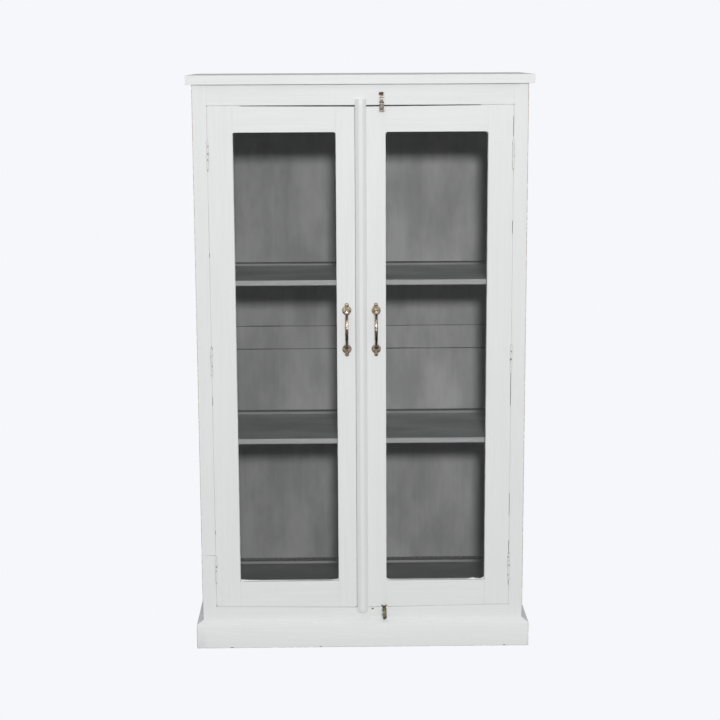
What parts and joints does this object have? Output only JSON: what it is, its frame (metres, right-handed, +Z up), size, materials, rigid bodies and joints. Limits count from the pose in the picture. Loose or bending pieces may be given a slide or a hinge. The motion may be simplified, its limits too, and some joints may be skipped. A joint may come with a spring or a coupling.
{
  "type": "display cabinet",
  "caption": "Tall painted wooden display cabinet with two glazed doors, shelves, pull handles and barrel bolts, on a plinth.",
  "frame": {"origin": "on the floor under the middle of the object's box", "axes": "+Z up, +Y towards the back, +X to the right as seen from the front"},
  "size_m": [0.943, 0.4154, 1.607],
  "materials": {
    "white_paint": "brushed white paint on wood, worn to brown at the plinth's edges",
    "grey_paint": "mottled smoky grey wash on wood",
    "clear_glass": "clear float glass",
    "aged_brass": "aged cast brass with a pale worn highlight",
    "painted_hinge": "steel hinge painted over with the door",
    "screw_steel": "dull steel",
    "magnet_case": "matte black"
  },
  "bodies": {
    "carcass": {"top_board": "white_paint", "left_side": "white_paint", "right_side": "white_paint", "bottom_board": "grey_paint", "left_face_stile": "white_paint", "right_face_stile": "white_paint", "top_face_rail": "white_paint", "bottom_face_rail": "white_paint", "top_door_stop": "white_paint", "shelf_upper": "grey_paint", "shelf_lower": "grey_paint", "shelf_cleats": "grey_paint", "top_cleats": "grey_paint", "back_panel_upper": "grey_paint", "back_rail": "grey_paint", "back_panel_lower": "grey_paint", "shelf_strip_upper": "grey_paint", "shelf_strip_lower": "grey_paint", "floor_strip": "grey_paint", "plinth_front": "white_paint", "plinth_left": "white_paint", "plinth_right": "white_paint", "plinth_back": "grey_paint", "left_frame_leaves": "painted_hinge", "right_frame_leaves": "painted_hinge", "left_hinge_pins": "painted_hinge", "right_hinge_pins": "painted_hinge", "left_frame_leaf_screws": "screw_steel", "right_frame_leaf_screws": "screw_steel", "top_bolt_plate": "aged_brass", "bottom_bolt_plate": "aged_brass", "bolt_plate_screws": "screw_steel", "catch_magnet": "magnet_case"},
    "left_door": {"left_hinge_stile": "white_paint", "left_meeting_stile": "white_paint", "left_top_rail": "white_paint", "left_bottom_rail": "white_paint", "left_glass": "clear_glass", "left_glazing_beads": "white_paint", "left_handle": "aged_brass", "left_handle_screws": "screw_steel", "left_door_leaves": "painted_hinge", "left_door_leaf_screws": "screw_steel", "catch_strike": "screw_steel"},
    "right_door": {"right_hinge_stile": "white_paint", "right_meeting_stile": "white_paint", "right_top_rail": "white_paint", "right_bottom_rail": "white_paint", "right_glass": "clear_glass", "right_glazing_beads": "white_paint", "cover_strip": "white_paint", "right_handle": "aged_brass", "right_handle_screws": "screw_steel", "right_door_leaves": "painted_hinge", "right_door_leaf_screws": "screw_steel", "top_bolt_keeper": "aged_brass", "bottom_bolt_keeper": "aged_brass", "bolt_keeper_screws": "screw_steel"},
    "top_bolt": {"top_bolt_rod": "aged_brass"},
    "bottom_bolt": {"bottom_bolt_rod": "aged_brass"}
  },
  "joints": [
    {"name": "left_door_hinge", "type": "hinge", "parent": "carcass", "child": "left_door", "pos_m": [-0.4141, -0.18125, 0.827], "axis": [0, 0, -1], "range_deg": [0, 110]},
    {"name": "right_door_hinge", "type": "hinge", "parent": "carcass", "child": "right_door", "pos_m": [0.4141, -0.18125, 0.827], "axis": [0, 0, 1], "range_deg": [0, 110]},
    {"name": "top_bolt_slide", "type": "slide", "parent": "carcass", "child": "top_bolt", "axis": [0, 0, -1], "range_m": [0, 0.011]},
    {"name": "bottom_bolt_slide", "type": "slide", "parent": "carcass", "child": "bottom_bolt", "axis": [0, 0, 1], "range_m": [0, 0.011]}
  ]
}
